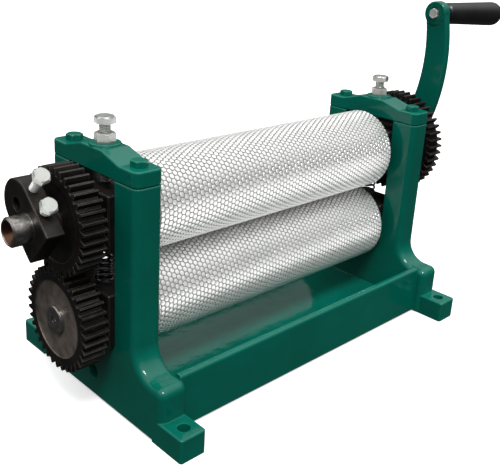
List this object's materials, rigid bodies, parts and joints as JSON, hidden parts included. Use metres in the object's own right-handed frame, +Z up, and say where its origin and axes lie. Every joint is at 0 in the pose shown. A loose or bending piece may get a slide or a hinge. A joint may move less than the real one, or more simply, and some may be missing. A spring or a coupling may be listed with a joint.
{
  "type": "comb foundation roller mill",
  "caption": "Hand-cranked twin-roller mill that embosses beeswax sheets with a comb pattern; geared rollers in a bolt-down cast frame, with screw-set gap.",
  "frame": {"origin": "centre of the four foot holes, on the plane the feet stand on", "axes": "+X along the rollers towards the crank, +Y towards the back, +Z up"},
  "size_m": [0.6659, 0.25, 0.3407],
  "materials": {
    "green_enamel": "glossy green enamel over cast iron",
    "aluminium": "bright embossed",
    "black_oxide": "black oxide, worn on the edges",
    "zinc": "bright zinc plate",
    "bright_steel": "turned steel",
    "spring_steel": "oil-tempered wire",
    "bronze": "turned bronze",
    "black_plastic": "moulded black plastic"
  },
  "bodies": {
    "frame": {"bed_frame": "green_enamel", "cap_left": "green_enamel", "cap_right": "green_enamel", "cap_bolts_left": "green_enamel", "cap_bolts_right": "green_enamel", "lock_nut_left": "zinc", "lock_nut_right": "zinc", "bearing_block_lower_left": "black_oxide", "bearing_block_lower_right": "black_oxide", "bush_lower_left": "bronze", "bush_lower_right": "bronze", "lift_spring_left": "spring_steel", "lift_spring_right": "spring_steel"},
    "upper_carriage": {"bearing_block_upper_left": "black_oxide", "bearing_block_upper_right": "black_oxide", "bush_upper_left": "bronze", "bush_upper_right": "bronze"},
    "upper_roller": {"roller_upper": "aluminium", "shaft_upper": "bright_steel", "gear_upper": "black_oxide", "gear_large": "black_oxide", "key_gear_upper": "bright_steel", "key_gear_large": "bright_steel", "key_crank": "bright_steel", "clamp_arm": "black_oxide", "clamp_bolt_shaft": "zinc", "clamp_bolt_pin": "zinc", "crank_arm": "green_enamel", "crank_washer": "zinc", "crank_bolt": "zinc", "grip_spindle": "zinc", "spindle_nut": "zinc"},
    "lower_roller": {"roller_lower": "aluminium", "shaft_lower": "bright_steel", "gear_lower": "black_oxide", "key_gear_lower": "bright_steel"},
    "screw_left": {"adjusting_screw_left": "zinc"},
    "screw_right": {"adjusting_screw_right": "zinc"},
    "grip": {"grip": "black_plastic"}
  },
  "joints": [
    {"name": "roller_gap", "type": "slide", "parent": "frame", "child": "upper_carriage", "axis": [0, 0, 1], "range_m": [0, 0.003], "deforming": ["lift_spring_left", "lift_spring_right"]},
    {"name": "crank_turn", "type": "hinge", "parent": "upper_carriage", "child": "upper_roller", "pos_m": [0, 0, 0.176], "axis": [1, 0, 0], "continuous": true},
    {"name": "lower_roller_spin", "type": "hinge", "parent": "frame", "child": "lower_roller", "pos_m": [0, 0, 0.0885], "axis": [1, 0, 0], "continuous": true},
    {"name": "screw_left_turn", "type": "hinge", "parent": "upper_carriage", "child": "screw_left", "pos_m": [-0.186, 0, 0.23], "axis": [0, 0, 1], "range_deg": [0, 720]},
    {"name": "screw_right_turn", "type": "hinge", "parent": "upper_carriage", "child": "screw_right", "pos_m": [0.186, 0, 0.23], "axis": [0, 0, 1], "range_deg": [0, 720]},
    {"name": "grip_spin", "type": "hinge", "parent": "upper_roller", "child": "grip", "pos_m": [0.33, -0.01964, 0.32444], "axis": [0.9994, 0, -0.0349], "continuous": true}
  ],
  "couplings": [
    {"joint": "lower_roller_spin", "follows": "crank_turn", "ratio": -1},
    {"joint": "screw_left_turn", "follows": "roller_gap", "rad_per_m": 4188.8},
    {"joint": "screw_right_turn", "follows": "roller_gap", "rad_per_m": 4188.8}
  ]
}
